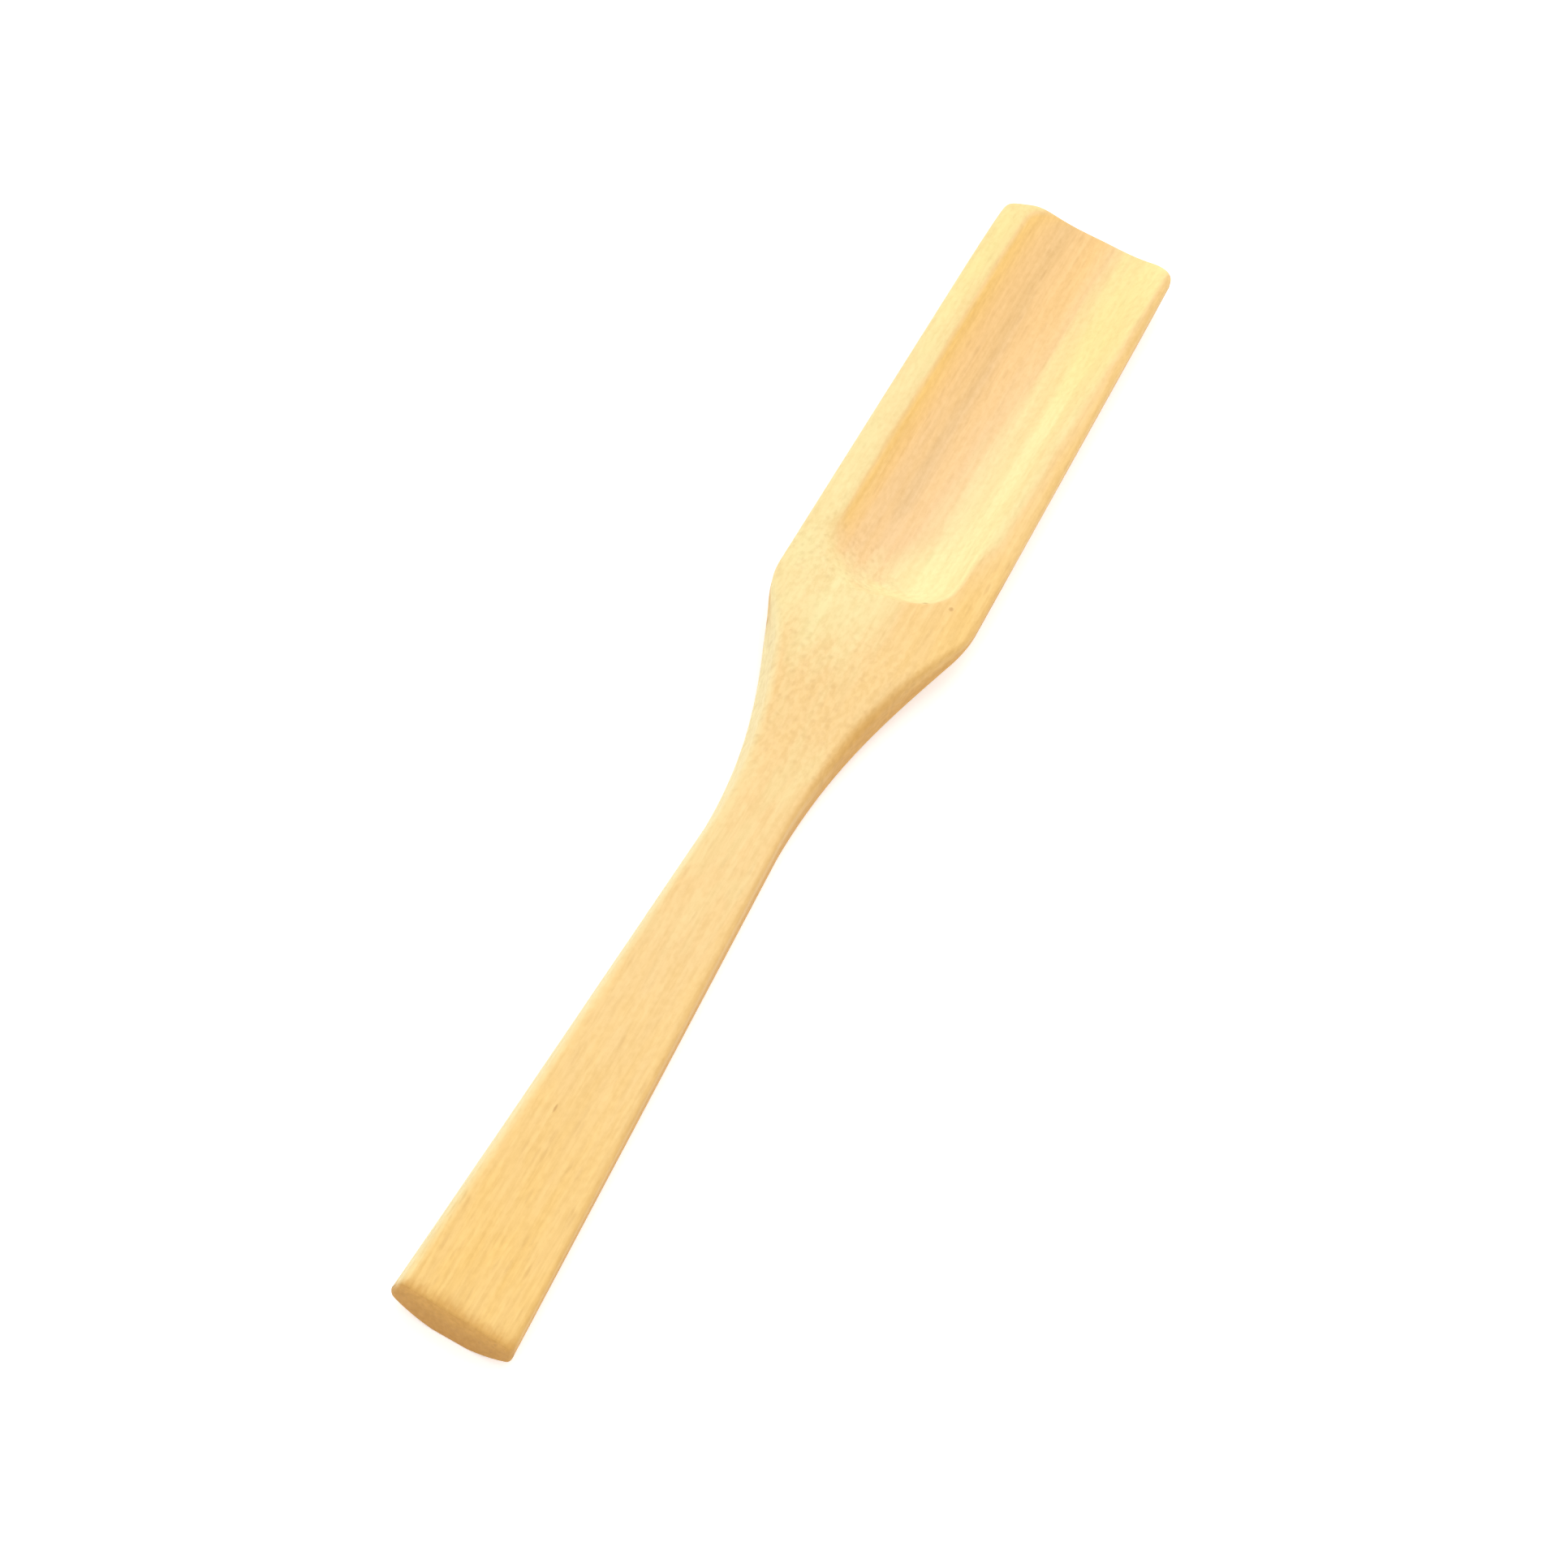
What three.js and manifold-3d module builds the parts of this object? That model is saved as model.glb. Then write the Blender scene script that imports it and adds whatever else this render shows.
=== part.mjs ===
import * as THREE from 'three';
import { mergeVertices } from 'three/addons/utils/BufferGeometryUtils.js';
import Module from 'manifold-3d';

// A bamboo tea scoop, carved from one strip of culm wall: a tapering handle with a flat top, a waisted
// neck, flaring shoulders and a blade hollowed by a round-ended trough that is open at the tip.
// Millimetres. X runs from tail to tip, Y to the left, Z up. The origin lies under the middle of the
// scoop, on the surface that it rests on.

// Lengths along the scoop: tail to neck, neck to shoulders, shoulders to tip
const handleLength = 72;
const flareLength = 34.6;
const bladeLength = 73.4;
const shoulderStagger = 2.2;
const shoulderBlend = 2.6;
const riseSetback = 8;
const riseLength = 22;

// Widths, and how far left of the axis the neck lies
const tailWidth = 13.95;
const neckWidth = 8.35;
const neckOffset = -0.3;
const shoulderWidth = 24.2;
const tipWidth = 23.2;

// Thickness, the rounded underside, the side wall left above it at the blade's edge, and the edges' rounds
const handleThickness = 5.1;
const bladeThickness = 7;
const bladeCrown = 0.75;
const bladeSideHeight = 1.9;
const handleUndersideRadius = 12;
const restFlatWidth = 4;
const leftEdgeRadius = 1.1;
const rightEdgeRadius = 0.5;
const undersideEdgeRadius = 0.5;

// The left side of the handle and flare is planed at a slant, in degrees, that ends at the shoulder
const leftLean = 12;
const leanEaseLength = 10;

// The hand-sawn tail: its angles in degrees, and how far up the handle the slant is taken out
const tailCutAngle = 5;
const tailTwist = 4;
const tailCornerRadius = 0.5;
const tailEaseLength = 24;

// The bowed tip, where the underside rises to a thin lip, and the rims fall away and roll over at the front.
// The roll is less at the blade's sides, by a share.
const tipBow = 3.3;
const tipPeakOffset = 0.7;
const tipCornerRadius = 2.2;
const lipLength = 16;
const lipRise = 1.2;
const lipThickness = 1.7;
const rimFall = 0.7;
const rimRollLength = 5;
const rimRollDrop = 1.6;
const rimRollEase = 0.7;

// The trough
const troughSetback = 1.6;
const troughEndLength = 8.6;
const rimLeft = 3.5;
const rimRightBack = 3.7;
const rimRightTip = 0.9;
const floorThickness = 2.4;
const troughWallPower = 2.4;

const tailX = -(handleLength + flareLength + bladeLength) / 2;
const neckX = tailX + handleLength;
const riseX = neckX + riseSetback;
const shoulderX = neckX + flareLength;
const tipX = shoulderX + bladeLength;
const lipX = tipX - lipLength;
const LEFT = 1;
const RIGHT = -1;

const clamp01 = (value) => THREE.MathUtils.clamp(value, 0, 1);
const lerp = THREE.MathUtils.lerp;

// Share of the way from the handle's thickness up to the blade's
function riseShare(x) {
  return THREE.MathUtils.smoothstep(x, riseX, riseX + riseLength);
}

// Straight handle edge, then one arc that leaves the neck along the axis and ends at the shoulder
function handleHalfWidth(x, cornerX, side) {
  const neckHalf = neckWidth / 2 + side * neckOffset;
  if (x < neckX) {
    return lerp(tailWidth / 2, neckHalf, (x - tailX) / handleLength);
  }
  const run = cornerX - neckX;
  const flare = shoulderWidth / 2 - neckHalf;
  const radius = (run * run + flare * flare) / (2 * flare);
  const along = x - neckX;
  return neckHalf + radius - Math.sqrt(radius * radius - along * along);
}

function bladeHalfWidth(x, cornerX) {
  return lerp(shoulderWidth / 2, tipWidth / 2, (x - cornerX) / (tipX - cornerX));
}

// Half width on one side, with the shoulder corner eased
function halfWidth(x, side) {
  const cornerX = shoulderX - side * shoulderStagger / 2;
  const start = cornerX - shoulderBlend;
  const end = cornerX + shoulderBlend;
  if (x <= start) {
    return handleHalfWidth(x, cornerX, side);
  }
  if (x >= end) {
    return bladeHalfWidth(x, cornerX);
  }
  const t = (x - start) / (end - start);
  const from = handleHalfWidth(start, cornerX, side);
  const to = bladeHalfWidth(end, cornerX);
  return (1 - t) * (1 - t) * from + 2 * t * (1 - t) * shoulderWidth / 2 + t * t * to;
}

// Share of the way along the lip, growing faster toward the tip
function lipShare(x) {
  return clamp01((x - lipX) / lipLength) ** 2;
}

// Top face before the trough is cut: flat and slightly twisted on the handle, crowned on the blade
function topHeight(x, y) {
  const rise = riseShare(x);
  const level = lerp(handleThickness, bladeThickness, rise) - rimFall * lipShare(x);
  const twist = Math.tan(THREE.MathUtils.degToRad(tailTwist)) * clamp01((neckX - x) / handleLength);
  const across = 2 * y / shoulderWidth;
  return level - bladeCrown * rise * across * across + twist * y;
}

// How far the front ends of the rims are rolled over
function rimRoll(x, y) {
  const reach = clamp01(1 - (tipX - x) / rimRollLength);
  const across = 2 * y / tipWidth;
  return rimRollDrop * (1 - rimRollEase * across * across) * (1 - Math.sqrt(1 - reach * reach));
}

// Underside: an arc across the section, as the outside of the culm, with a narrow flat to rest on.
// Under the blade the arc is the one that leaves the side wall its height at the shoulders, and toward the
// tip its middle rises.
function undersideHeight(x, y) {
  const sag = bladeThickness - bladeCrown - bladeSideHeight;
  const bladeRadius = ((shoulderWidth / 2) ** 2 + sag * sag) / (2 * sag);
  const radius = lerp(handleUndersideRadius, bladeRadius, riseShare(x));
  const arc = (offset) => radius - Math.sqrt(radius * radius - offset * offset);
  const middle = Math.max(0, 1 - (2 * y / tipWidth) ** 2);
  return Math.max(0, arc(y) - arc(restFlatWidth / 2)) + lipRise * lipShare(x) * middle;
}

// How far the slanted left side stands in at the top, and out at the underside, from its middle height
function sideLean(x, wall) {
  const ease = 1 - THREE.MathUtils.smoothstep(x, shoulderX - leanEaseLength, shoulderX);
  return Math.tan(THREE.MathUtils.degToRad(leftLean)) * ease * wall / 2;
}

// How far a rounded edge falls away at a distance in from the side
function roundDrop(inset, radius) {
  const reach = Math.max(radius - inset, 0);
  return radius - Math.sqrt(Math.max(radius * radius - reach * reach, 0));
}

// Plan of the sawn tail: a line at an angle, its two corners rounded
function tailEdge(y) {
  const half = tailWidth / 2;
  const slope = Math.tan(THREE.MathUtils.degToRad(tailCutAngle));
  const corner = Math.max(Math.abs(y) - (half - tailCornerRadius), 0);
  return tailX + slope * (y + half) + roundDrop(tailCornerRadius - corner, tailCornerRadius);
}

// Plan of the tip: a bowed front whose ends run into corner arcs that touch the blade's sides
function tipEdge(y) {
  const bowRadius = ((tipWidth / 2) ** 2 + tipBow ** 2) / (2 * tipBow);
  const bowX = tipX - bowRadius;
  const side = y > 0 ? LEFT : RIGHT;
  const cornerY = side * (tipWidth / 2 - tipCornerRadius);
  const reach = bowRadius - tipCornerRadius;
  const cornerX = bowX + Math.sqrt(reach * reach - (cornerY - tipPeakOffset) ** 2);
  const touchY = tipPeakOffset + (cornerY - tipPeakOffset) * bowRadius / reach;
  if (side * y > side * touchY) {
    const past = Math.min(Math.abs(y - cornerY), tipCornerRadius);
    return cornerX + Math.sqrt(tipCornerRadius ** 2 - past * past);
  }
  return bowX + Math.sqrt(bowRadius ** 2 - (y - tipPeakOffset) ** 2);
}

// Stations along the scoop, closer together where the outline turns
function stations() {
  const list = [];
  const add = (from, to, count) => {
    for (let i = 0; i < count; i += 1) {
      list.push(lerp(from, to, i / count));
    }
  };
  const firstCorner = shoulderX - shoulderStagger / 2 - shoulderBlend;
  const lastCorner = shoulderX + shoulderStagger / 2 + shoulderBlend;
  add(tailX, neckX, 12);
  add(neckX, firstCorner, 14);
  add(firstCorner, lastCorner, 8);
  add(lastCorner, lipX, 10);
  add(lipX, tipX - rimRollLength, 7);
  for (const degrees of [0, 18, 36, 54, 72, 90]) {
    const reach = Math.sin(THREE.MathUtils.degToRad(degrees));
    list.push(tipX - rimRollLength * (1 - reach));
  }
  return list;
}

// Offsets across one side of the section, from the resting flat out to the rounded edge
function sideOffsets(width, radius) {
  const outer = width - radius;
  const inner = Math.min(restFlatWidth / 2, outer / 2);
  const list = [];
  for (let i = 0; i <= 4; i += 1) {
    list.push(lerp(inner, outer, i / 4));
  }
  for (const degrees of [60, 35, 15, 0]) {
    list.push(outer + radius * Math.cos(THREE.MathUtils.degToRad(degrees)));
  }
  return list;
}

// Moves a station to the slanted tail or the bowed tip, more and more toward each end
function endShift(x, y) {
  const toTail = 1 - clamp01((x - tailX) / tailEaseLength);
  const toTip = clamp01((x - lipX) / lipLength);
  return toTail * (tailEdge(y) - tailX) + toTip * (tipEdge(y) - tipX);
}

// One section of the uncut body as two rows of points, over and under the same plan positions except where
// the left side leans
function bodySection(x) {
  const upper = [];
  const lower = [];
  const addSide = (side) => {
    const width = halfWidth(x, side);
    const wall = topHeight(x, side * width) - rimRoll(x, width) - undersideHeight(x, width);
    const radius = Math.min(side === LEFT ? leftEdgeRadius : rightEdgeRadius, wall * 0.55);
    const underRadius = Math.min(undersideEdgeRadius, radius / 2);
    const lean = side === LEFT ? sideLean(x, wall) : 0;
    const offsets = sideOffsets(width, radius);
    if (side === RIGHT) {
      offsets.reverse();
    }
    for (const offset of offsets) {
      const y = side * offset;
      const shifted = x + endShift(x, y);
      const reach = lean * Math.max(offset - restFlatWidth / 2, 0) / (width - restFlatWidth / 2);
      const over = topHeight(x, y - reach) - rimRoll(x, y) - roundDrop(width - offset, radius);
      const under = undersideHeight(x, y + reach) + roundDrop(width - offset, underRadius);
      upper.push(new THREE.Vector3(shifted, y - reach, over));
      lower.push(new THREE.Vector3(shifted, y + reach, under));
    }
  };
  addSide(RIGHT);
  addSide(LEFT);
  return { upper, lower };
}

// Closed solid between two sheets of points that share one plan grid. The rows run one way, and a row
// that folds back on itself leaves its inner edge unwalled, because the two halves meet there.
function slabGeometry(rows, folded) {
  const positions = [];
  const quad = (a, b, c, d) => {
    for (const point of [a, b, c, a, c, d]) {
      positions.push(point.x, point.y, point.z);
    }
  };
  const last = rows.length - 1;
  const edge = rows[0].upper.length - 1;
  for (let i = 0; i < last; i += 1) {
    const here = rows[i];
    const next = rows[i + 1];
    for (let j = 0; j < edge; j += 1) {
      quad(here.upper[j], next.upper[j], next.upper[j + 1], here.upper[j + 1]);
      quad(here.lower[j], here.lower[j + 1], next.lower[j + 1], next.lower[j]);
    }
    quad(here.upper[edge], next.upper[edge], next.lower[edge], here.lower[edge]);
    if (!folded) {
      quad(here.lower[0], next.lower[0], next.upper[0], here.upper[0]);
    }
  }
  for (let j = 0; j < edge; j += 1) {
    const first = rows[0];
    const end = rows[last];
    quad(first.lower[j], first.upper[j], first.upper[j + 1], first.lower[j + 1]);
    quad(end.lower[j], end.lower[j + 1], end.upper[j + 1], end.upper[j]);
  }
  const geometry = new THREE.BufferGeometry();
  geometry.setAttribute('position', new THREE.Float32BufferAttribute(positions, 3));
  return geometry;
}

// Cutter for the trough: contours from the floor's middle line out past the rim, each running back along
// the right side, round the end and forward along the left side
function troughGeometry() {
  const endX = shoulderX + troughSetback + troughEndLength;
  const frontX = tipX + tipCornerRadius;
  const lidHeight = 2 * bladeThickness;
  const rimShare = (x) => clamp01((x - endX) / (tipX - endX));
  const leftEdge = (x) => halfWidth(x, LEFT) - rimLeft;
  const rightEdge = (x) => lerp(rimRightBack, rimRightTip, rimShare(x)) - halfWidth(x, RIGHT);
  const middle = (x) => (leftEdge(x) + rightEdge(x)) / 2;
  const half = (x) => (leftEdge(x) - rightEdge(x)) / 2;
  const rimHeight = (x) => (topHeight(x, leftEdge(x)) + topHeight(x, rightEdge(x))) / 2;
  const floorHeight = (x) => lerp(floorThickness, lipRise + lipThickness, rimShare(x) ** 2);
  const shares = [0, 0.2, 0.4, 0.58, 0.74, 0.88, 1, 1.12];
  const turns = [];
  const straightSteps = 10;
  const arcSteps = 18;
  for (let i = 0; i < straightSteps; i += 1) {
    turns.push({ x: lerp(frontX, endX, i / straightSteps), back: 0, across: RIGHT });
  }
  for (let i = 0; i <= arcSteps; i += 1) {
    const angle = Math.PI * i / arcSteps;
    turns.push({ x: endX, back: Math.sin(angle), across: -Math.cos(angle) });
  }
  for (let i = straightSteps - 1; i >= 0; i -= 1) {
    turns.push({ x: lerp(frontX, endX, i / straightSteps), back: 0, across: LEFT });
  }
  const rows = turns.map(({ x, back, across }) => {
    const lower = shares.map((share) => new THREE.Vector3(
      x - troughEndLength * share * back,
      middle(x) + half(x) * share * across,
      lerp(floorHeight(x), rimHeight(x), share ** troughWallPower),
    ));
    const upper = lower.map((point) => new THREE.Vector3(point.x, point.y, lidHeight));
    return { upper, lower };
  });
  return slabGeometry(rows, true);
}

const wasm = await Module();
wasm.setup();

// Welds a geometry's shared corners, drops the triangles that collapse and makes it a solid
function toSolid(geometry) {
  const welded = mergeVertices(geometry, 1e-4);
  const corners = welded.index.array;
  const kept = [];
  for (let i = 0; i < corners.length; i += 3) {
    const [a, b, c] = [corners[i], corners[i + 1], corners[i + 2]];
    if (a !== b && b !== c && c !== a) {
      kept.push(a, b, c);
    }
  }
  const mesh = new wasm.Mesh({
    numProp: 3,
    vertProperties: Float32Array.from(welded.attributes.position.array),
    triVerts: Uint32Array.from(kept),
  });
  return new wasm.Manifold(mesh);
}

function toGeometry(solid) {
  const mesh = solid.getMesh();
  const geometry = new THREE.BufferGeometry();
  geometry.setAttribute('position', new THREE.BufferAttribute(Float32Array.from(mesh.vertProperties), 3));
  geometry.setIndex(new THREE.BufferAttribute(Uint32Array.from(mesh.triVerts), 1));
  geometry.computeVertexNormals();
  return geometry;
}

const blank = toSolid(slabGeometry(stations().map(bodySection), false));
const carved = blank.subtract(toSolid(troughGeometry()));

const bamboo = new THREE.MeshStandardMaterial({ color: 0xf0c684, roughness: 0.55, metalness: 0 });
const scoopBody = new THREE.Mesh(toGeometry(carved), bamboo);
scoopBody.name = 'scoop_body';

const scoop = new THREE.Group();
scoop.add(scoopBody);

export default scoop;
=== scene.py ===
"""A bamboo tea scoop, carved in one piece from a strip of culm wall, on a plain pale studio floor."""

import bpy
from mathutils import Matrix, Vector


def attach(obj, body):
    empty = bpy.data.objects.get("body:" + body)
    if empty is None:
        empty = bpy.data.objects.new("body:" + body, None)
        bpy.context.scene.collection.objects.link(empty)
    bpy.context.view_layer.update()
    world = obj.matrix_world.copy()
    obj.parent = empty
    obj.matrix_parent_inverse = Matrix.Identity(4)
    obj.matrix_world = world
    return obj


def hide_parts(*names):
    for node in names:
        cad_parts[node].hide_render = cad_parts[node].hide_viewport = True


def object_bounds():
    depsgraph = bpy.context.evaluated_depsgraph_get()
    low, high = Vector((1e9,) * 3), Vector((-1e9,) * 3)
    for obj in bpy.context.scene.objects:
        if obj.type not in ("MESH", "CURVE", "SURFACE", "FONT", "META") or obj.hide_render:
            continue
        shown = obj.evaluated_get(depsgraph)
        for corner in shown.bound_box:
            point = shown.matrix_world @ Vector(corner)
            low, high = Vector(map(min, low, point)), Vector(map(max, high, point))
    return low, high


bl_info = {
    "name": "Bamboo Tea Scoop",
    "version": (1, 0, 0),
    "blender": (4, 5, 0),
    "location": "View3D > Sidebar > Scoop",
    "description": "Carves a one-piece bamboo tea scoop and sets up its studio",
    "category": "Add Mesh",
}

import math

import bpy
import numpy as np
from bpy.props import FloatProperty, FloatVectorProperty, PointerProperty
from mathutils import Matrix, Vector

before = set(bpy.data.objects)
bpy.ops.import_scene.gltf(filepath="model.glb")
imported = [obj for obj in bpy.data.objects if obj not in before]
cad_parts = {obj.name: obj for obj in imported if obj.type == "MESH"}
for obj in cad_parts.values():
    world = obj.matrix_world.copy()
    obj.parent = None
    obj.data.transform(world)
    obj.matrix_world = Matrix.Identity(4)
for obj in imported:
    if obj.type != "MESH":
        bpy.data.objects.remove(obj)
cad_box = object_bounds()

NODE = "scoop_body"
MILLIMETRE = 0.001
LEFT = 1.0
RIGHT = -1.0


def millimetres(name, description, size):
    """A length that a user can change, given in millimetres and kept in metres."""
    return FloatProperty(
        name=name,
        description=description,
        default=size * MILLIMETRE,
        unit="LENGTH",
        subtype="DISTANCE",
        precision=5,
    )


def degrees(name, description, angle):
    """An angle that a user can change, given in degrees and kept in radians."""
    return FloatProperty(
        name=name,
        description=description,
        default=math.radians(angle),
        unit="ROTATION",
        subtype="ANGLE",
    )


def share_of(name, description, share):
    """A share from 0 to 1 that a user can change."""
    return FloatProperty(
        name=name,
        description=description,
        default=share,
        min=0.0,
        max=1.0,
        subtype="FACTOR",
    )


def power_of(name, description, value):
    """A power that a user can change, which sets how full or steep a curve is."""
    return FloatProperty(name=name, description=description, default=value, min=1.2, max=6.0)


def watts(name, description, strength):
    """A lamp's power that a user can change."""
    return FloatProperty(name=name, description=description, default=strength, min=0.0, unit="POWER")


def plain_colour(name, description, red, green, blue):
    """A colour that a user can change, given as it looks on a screen, from 0 to 255."""
    return FloatVectorProperty(
        name=name,
        description=description,
        default=[linear(level / 255) for level in (red, green, blue)],
        subtype="COLOR",
        size=3,
        min=0.0,
        max=1.0,
    )


def linear(level):
    """Screen level, 0 to 1, as a linear light level."""
    if level <= 0.04045:
        return level / 12.92
    return ((level + 0.055) / 1.055) ** 2.4


class ScoopSizes(bpy.types.PropertyGroup):
    """Sizes of the carved body"""

    handle_length: millimetres("Handle length", "From the tail to the narrowest part of the neck", 72)
    flare_length: millimetres("Flare length", "From the neck to the shoulders", 34.6)
    blade_length: millimetres("Blade length", "From the shoulders to the tip", 73.4)
    shoulder_stagger: millimetres("Shoulder stagger", "How far the right one lies ahead of the left", 2.2)
    shoulder_blend: millimetres("Shoulder blend", "Half the length over which a shoulder is eased", 2.6)
    rise_setback: millimetres("Rise setback", "From the neck to where the top face starts to rise", 8)
    rise_length: millimetres("Rise length", "Length of the slope up to the blade's thickness", 22)
    tail_width: millimetres("Tail width", "Width at the sawn end", 13.95)
    neck_width: millimetres("Neck width", "Least width", 8.35)
    neck_offset: millimetres("Neck offset", "How far left of the axis the neck lies", -0.3)
    shoulder_width: millimetres("Shoulder width", "Greatest width", 24.2)
    tip_width: millimetres("Tip width", "Width at the tip", 23.2)
    handle_thickness: millimetres("Handle thickness", "Thickness along the handle's middle", 5.1)
    blade_thickness: millimetres("Blade thickness", "Thickness of the blade before the trough is cut", 7)
    blade_crown: millimetres("Blade crown", "How far the blade's top falls toward its sides", 0.75)
    blade_side_height: millimetres("Blade side height", "Side wall at the shoulders", 1.9)
    handle_underside_radius: millimetres("Underside radius", "Round of the handle's underside", 12)
    rest_flat_width: millimetres("Resting flat", "Flat along the underside that the scoop lies on", 4)
    left_edge_radius: millimetres("Left edge", "Round along the top's left edge", 1.1)
    right_edge_radius: millimetres("Right edge", "Round along the top's right edge", 0.5)
    flare_edge_radius: millimetres("Flare edge", "Round along the right edge where the neck flares", 1.3)
    underside_edge_radius: millimetres("Underside edge", "Round along the underside's edges", 0.5)
    left_lean: degrees("Left lean", "Slant of the left side of the handle and flare", 12)
    lean_ease_length: millimetres("Lean ease", "Length before the shoulder in which the slant ends", 10)
    tail_cut_angle: degrees("Tail cut", "Slant of the saw cut across the tail", 5)
    tail_twist: degrees("Tail twist", "Twist of the handle's top face at the tail", 4)
    tail_corner_radius: millimetres("Tail corner", "Corner of the sawn end, seen from above", 0.5)
    tail_ease_length: millimetres("Tail ease", "Length over which the saw cut's slant is taken out", 24)
    tail_edge_radius: millimetres("Tail edge", "Round where the sawn end meets the faces", 0.3)
    tip_bow: millimetres("Tip bow", "How far the tip's middle stands ahead of its sides", 3.3)
    tip_peak_offset: millimetres("Tip peak offset", "How far left of the middle the tip's peak lies", 0.7)
    tip_corner_radius: millimetres("Tip corner", "Corner of the tip, seen from above", 2.2)
    tip_edge_radius: millimetres("Tip edge", "Round along the tip's front", 0.35)
    lip_length: millimetres("Lip length", "Length over which the tip thins", 16)
    lip_rise: millimetres("Lip rise", "How far the underside's middle rises at the tip", 1.2)
    lip_thickness: millimetres("Lip thickness", "Thickness of the floor at the tip", 1.7)
    rim_fall: millimetres("Rim fall", "How far the rims fall away at the tip", 0.7)
    rim_roll_length: millimetres("Rim roll length", "Length of the rims' rolled front ends", 5)
    rim_roll_drop: millimetres("Rim roll drop", "How far the rims' front ends are rolled down", 1.6)
    rim_roll_ease: share_of("Rim roll ease", "How much less the roll is at the blade's sides", 0.7)


class TroughSizes(bpy.types.PropertyGroup):
    """Sizes of the trough"""

    setback: millimetres("Setback", "From the shoulders to the trough's round end", 2.2)
    end_length: millimetres("End length", "Length of the trough's round end", 8)
    rim_left: millimetres("Left rim", "Width of the left rim", 3.5)
    rim_right_back: millimetres("Right rim at the back", "Width of the right rim at the round end", 3.7)
    rim_right_tip: millimetres("Right rim at the tip", "Width of the right rim at the tip", 0.9)
    floor_thickness: millimetres("Floor thickness", "Wood left under the trough", 2.4)
    rim_softness: millimetres("Rim softness", "How far the trough's edge is sanded over", 0.9)
    corner_softness: millimetres("Corner softness", "How far its left back corner is sanded over", 4)
    left_corner_power: power_of("Left back corner", "How full the corner is: 2 for an ellipse", 1.7)
    right_corner_power: power_of("Right back corner", "How full the corner is: 2 for an ellipse", 2.5)
    wall_power: power_of("Wall steepness", "How steeply the trough's walls rise toward the rim", 2.4)


class BambooFinish(bpy.types.PropertyGroup):
    """Colours and grain of the bamboo, some of them painted light and shade"""

    # Pale straw up the trough's right wall is painted light
    pale_colour: plain_colour("Pale wood", "Straw-coloured wood up the right wall", 254, 247, 184)
    tip_colour: plain_colour("Pale wood at the tip", "Yellower straw toward the tip", 254, 247, 169)
    honey_colour: plain_colour("Honey wood", "Honey-coloured wood along the handle", 252, 214, 148)
    # At the right rim this deep colour is painted shade
    deep_colour: plain_colour("Deep wood", "Deeper wood at the tail and right rim", 254, 209, 124)
    inner_colour: plain_colour("Inner wood", "Peach tint of the wood inside the trough", 253, 213, 198)
    # Pale colour of the planed left side, partly a painted highlight of light from the left
    planed_colour: plain_colour("Planed side", "Pale wood along the planed left side", 254, 238, 182)
    # Skin colour, also painted as shade along the right edge and the flare's right side
    skin_colour: plain_colour("Side and underside", "Dense wood toward the culm's skin", 226, 173, 91)
    bundle_colour: plain_colour("Fibre bundles", "Fibre bundles that run along the culm", 190, 138, 76)
    end_grain_colour: plain_colour("End grain", "Wood that is cut across its fibres", 222, 168, 86)
    dash_length: millimetres("Dash length", "Distance along the culm between cut bundles", 4.5)
    dash_pitch: millimetres("Dash pitch", "Distance across the culm between cut bundles", 0.75)
    dot_pitch: millimetres("Dot pitch", "Distance between bundles that are cut across", 1.2)
    dash_strength: share_of("Dash strength", "How dark the streaks along the grain are", 0.12)
    dot_strength: share_of("Dot strength", "How dark the dots on the slope are", 0.13)
    roughness: share_of("Roughness", "How dull the sanded surface is", 0.58)


class StudioSettings(bpy.types.PropertyGroup):
    """Floor, light and camera"""

    floor_colour: plain_colour("Floor", "Pale studio floor", 250, 250, 250)
    floor_lift: share_of("Floor lift", "Light that the floor adds where it is seen", 0.42)
    key_power: watts("Key light", "Power of the soft lamp overhead", 5.6)
    fill_power: watts("Fill light", "Power of the soft lamp on the left", 2.1)
    lamp_size: millimetres("Lamp size", "Width of the soft lamps", 1200)
    lamp_distance: millimetres("Lamp distance", "From the scoop to the soft lamps", 1600)
    sky_strength: FloatProperty(
        name="Sky", description="Strength of the even light from all round", default=0.83, min=0.0
    )
    view_azimuth: degrees("Azimuth", "Turn of the view away from the scoop's axis", 13.911)
    view_elevation: degrees("Elevation", "Height of the view above the horizon", 51.568)
    view_roll: degrees("Roll", "Turn of the picture about the view", -12.925)
    view_distance: millimetres("Distance", "From the camera to the point it aims at", 486.789)
    view_aim: FloatVectorProperty(
        name="Aim",
        description="Point that the camera aims at",
        default=(-0.009404, -0.001205, 0.003),
        subtype="TRANSLATION",
        unit="LENGTH",
        size=3,
    )
    lens: FloatProperty(name="Lens", description="Focal length", default=100.06, min=1.0, unit="CAMERA")


def clamp01(values):
    return np.clip(values, 0.0, 1.0)


def mix(start, end, share):
    return start + (end - start) * share


def smoothstep(values, low, high):
    share = clamp01((values - low) / (high - low))
    return share * share * (3.0 - 2.0 * share)


def soft_least(first, second, softness):
    """The lesser of two heights, with the edge where they meet rounded over."""
    share = clamp01(0.5 + 0.5 * (second - first) / softness)
    return mix(second, first, share) - softness * share * (1.0 - share)


def round_drop(share, radius):
    """How far a rounded edge falls: share is 0 at its inner end and 1 at the very edge."""
    return radius * (1.0 - np.sqrt(1.0 - clamp01(share) ** 2))


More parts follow.
